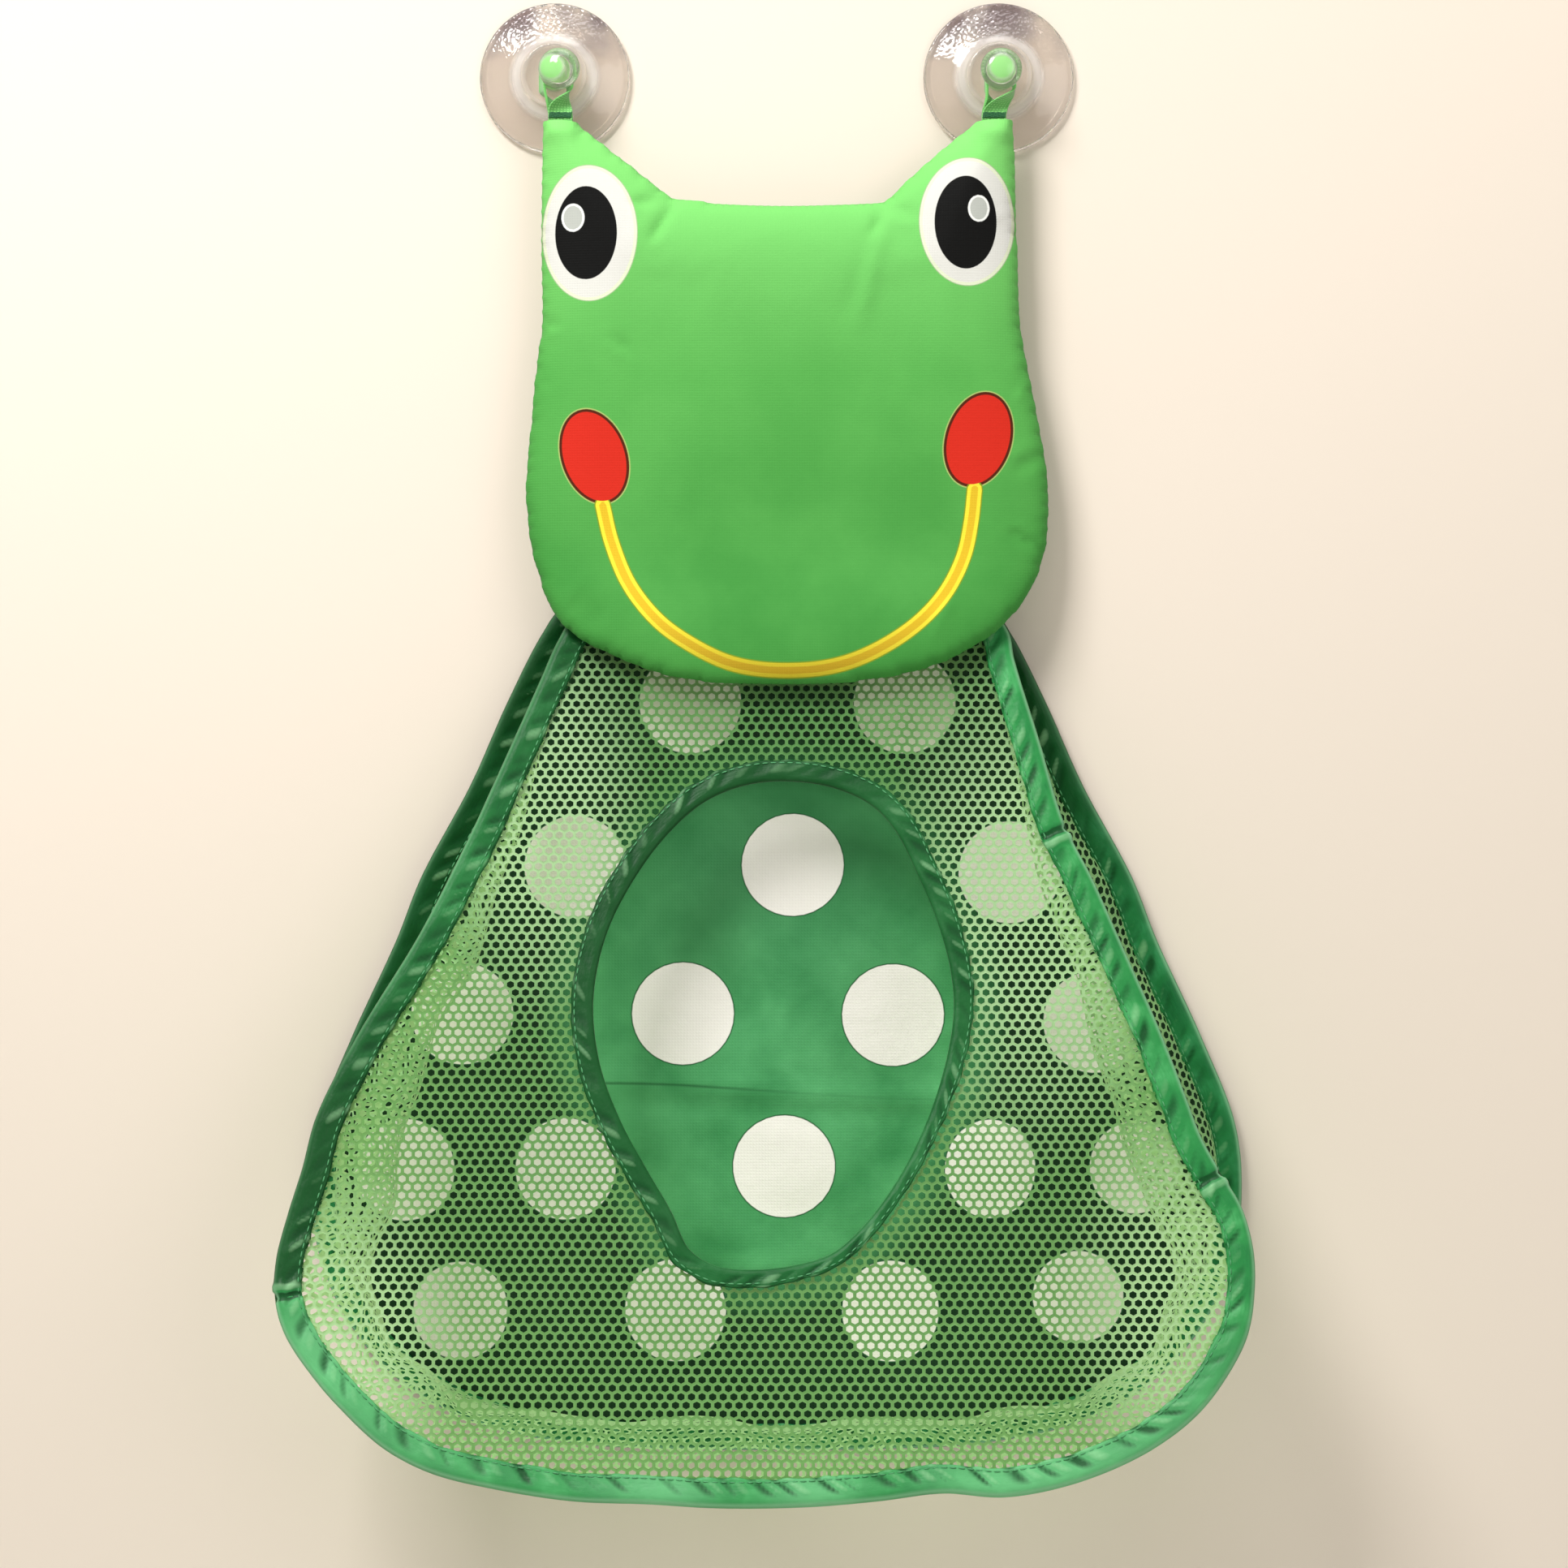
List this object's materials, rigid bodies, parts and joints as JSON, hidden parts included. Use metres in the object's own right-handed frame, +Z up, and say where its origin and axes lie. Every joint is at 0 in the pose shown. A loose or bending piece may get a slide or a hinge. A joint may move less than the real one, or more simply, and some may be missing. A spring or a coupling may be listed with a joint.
{
  "type": "bath toy organizer",
  "caption": "Frog-headed mesh bag that hangs from suction cups: a padded head over a wedge-shaped, hooped mesh bag with an oval mouth and a dotted back panel, for storing bath toys.",
  "frame": {"origin": "on the wall plane, halfway between the suction cups' centres", "axes": "+Z up along the wall, +X to the right as seen from the front, +Y into the wall, so the front faces -Y"},
  "size_m": [0.3423, 0.106, 0.5306],
  "materials": {
    "clear_pvc": "clear, glossy",
    "loop_tape": "light green woven tape",
    "head_nylon": "light green nylon cloth, printed",
    "padding": "white fibre wadding",
    "rim_tape": "satin folded tape",
    "panel_nylon": "dark green nylon cloth with white dots",
    "mesh": "light green six-sided net",
    "spring_steel": "drawn wire",
    "ferrule": "crimped sleeve"
  },
  "bodies": {
    "suction_cups": {"left_suction_cup": "clear_pvc", "right_suction_cup": "clear_pvc"},
    "hung_bag": {"left_hang_loop": "loop_tape", "right_hang_loop": "loop_tape", "head_front_panel": "head_nylon", "head_back_panel": "head_nylon", "head_padding": "padding", "joining_strip": "rim_tape", "back_panel": "panel_nylon", "back_rim_binding": "rim_tape", "back_hoop_wire": "spring_steel", "back_hoop_ferrule": "ferrule", "gusset_mesh": "mesh"},
    "front_frame": {"front_mesh_panel": "mesh", "front_rim_binding": "rim_tape", "front_hoop_wire": "spring_steel", "front_hoop_ferrule": "ferrule", "opening_binding": "rim_tape"}
  },
  "joints": [
    {"name": "hang_swing", "type": "hinge", "parent": "suction_cups", "child": "hung_bag", "pos_m": [0, -0.0129, 0.0045], "axis": [-1, 0, 0], "range_deg": [0, 50], "deforming": ["left_hang_loop", "right_hang_loop"]},
    {"name": "front_collapse", "type": "hinge", "parent": "hung_bag", "child": "front_frame", "pos_m": [0, -0.00675, -0.186], "axis": [1, 0, 0], "range_deg": [0, 16.5], "deforming": ["gusset_mesh"]}
  ]
}
